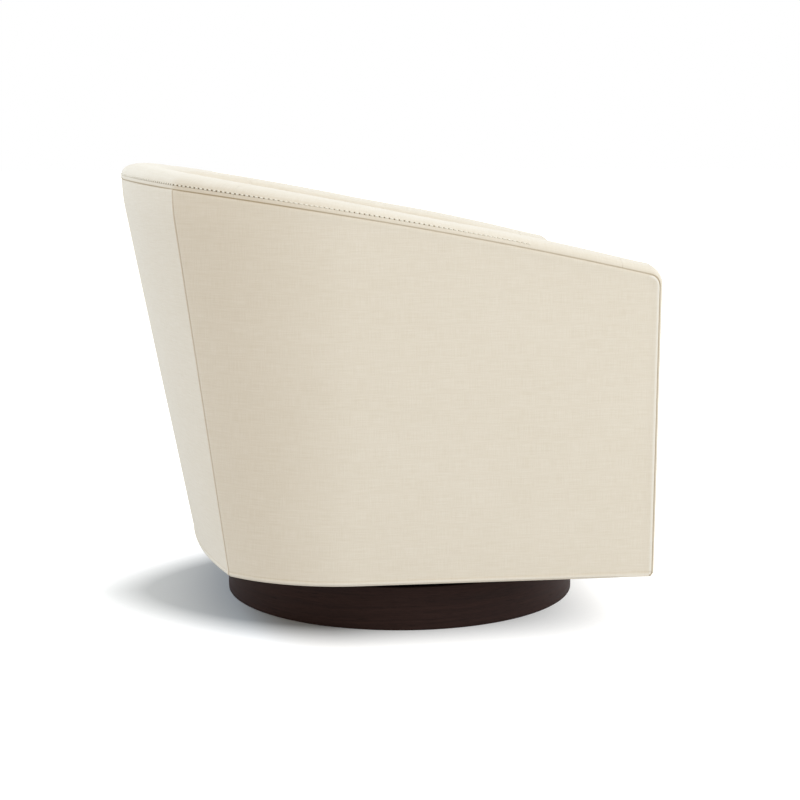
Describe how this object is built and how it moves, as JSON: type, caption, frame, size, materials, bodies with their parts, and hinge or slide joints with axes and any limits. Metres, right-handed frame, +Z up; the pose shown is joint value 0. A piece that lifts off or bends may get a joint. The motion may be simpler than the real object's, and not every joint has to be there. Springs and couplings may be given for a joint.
{
  "type": "swivel barrel chair",
  "caption": "Upholstered barrel chair with a padded band over its sloping rim, a loose seat cushion and a round dark plinth on a ball-bearing swivel.",
  "frame": {"origin": "on the floor, in the middle of the plinth's underside, on the swivel axis", "axes": "+Z up along the swivel axis, -Y the way the sitter faces, +X to the sitter's left"},
  "size_m": [0.8136, 0.7769, 0.6951],
  "materials": {
    "linen": "slubby woven linen look",
    "foam": "polyurethane foam and fibre",
    "black_cloth": "non-woven dust cloth",
    "webbing": "woven elastic webbing",
    "dark_veneer": "espresso stain, satin",
    "plywood": "raw",
    "hardwood": "raw",
    "black_steel": "black powder coat",
    "bright_steel": "zinc plated",
    "nylon": "natural"
  },
  "bodies": {
    "plinth": {"plinth_ring": "dark_veneer", "plinth_board": "plywood", "plinth_floor_board": "plywood", "plinth_braces": "hardwood", "swivel_lower_plate": "black_steel", "lower_plate_screws": "bright_steel", "king_pin": "bright_steel", "pivot_washer": "bright_steel", "pivot_nut": "bright_steel"},
    "ball_race": {"ball_cage": "nylon", "bearing_balls": "bright_steel"},
    "seat_body": {"arm_band_left": "linen", "arm_band_right": "linen", "arm_rail_left": "plywood", "arm_rail_right": "plywood", "back_band": "linen", "back_post_left": "hardwood", "back_post_right": "hardwood", "back_webbing": "webbing", "bottom_rail_back": "hardwood", "bottom_rail_front": "hardwood", "bottom_rail_left": "hardwood", "bottom_rail_right": "hardwood", "bottom_welt": "linen", "corner_blocks": "hardwood", "deck_pad": "foam", "dust_cover": "black_cloth", "front_post_left": "hardwood", "front_post_right": "hardwood", "front_rail_cover": "linen", "inside_arm_cover_left": "linen", "inside_arm_cover_right": "linen", "inside_arm_pad_left": "foam", "inside_arm_pad_right": "foam", "inside_back_cover": "linen", "inside_back_pad": "foam", "outside_arm_cover_left": "linen", "outside_arm_cover_right": "linen", "outside_back_cover": "linen", "pivot_bush": "nylon", "rear_post_left": "hardwood", "rear_post_right": "hardwood", "seat_cushion_core": "foam", "seat_cushion_cover": "linen", "seat_rail_back": "hardwood", "seat_rail_front": "hardwood", "seat_rail_left": "hardwood", "seat_rail_right": "hardwood", "seat_spring_1": "bright_steel", "seat_spring_2": "bright_steel", "seat_spring_3": "bright_steel", "seat_spring_4": "bright_steel", "seat_spring_5": "bright_steel", "spring_clips": "bright_steel", "swivel_bearer_left": "hardwood", "swivel_bearer_right": "hardwood", "swivel_upper_plate": "black_steel", "tee_nuts": "bright_steel", "top_rail_back": "plywood", "upper_plate_bolts": "bright_steel"}
  },
  "joints": [
    {"name": "swivel", "type": "hinge", "parent": "plinth", "child": "seat_body", "pos_m": [0, 0, 0.0875], "axis": [0, 0, 1], "continuous": true},
    {"name": "ball_race_spin", "type": "hinge", "parent": "plinth", "child": "ball_race", "pos_m": [0, 0, 0.0875], "axis": [0, 0, 1], "continuous": true}
  ],
  "couplings": [
    {"joint": "ball_race_spin", "follows": "swivel", "ratio": 0.5}
  ]
}
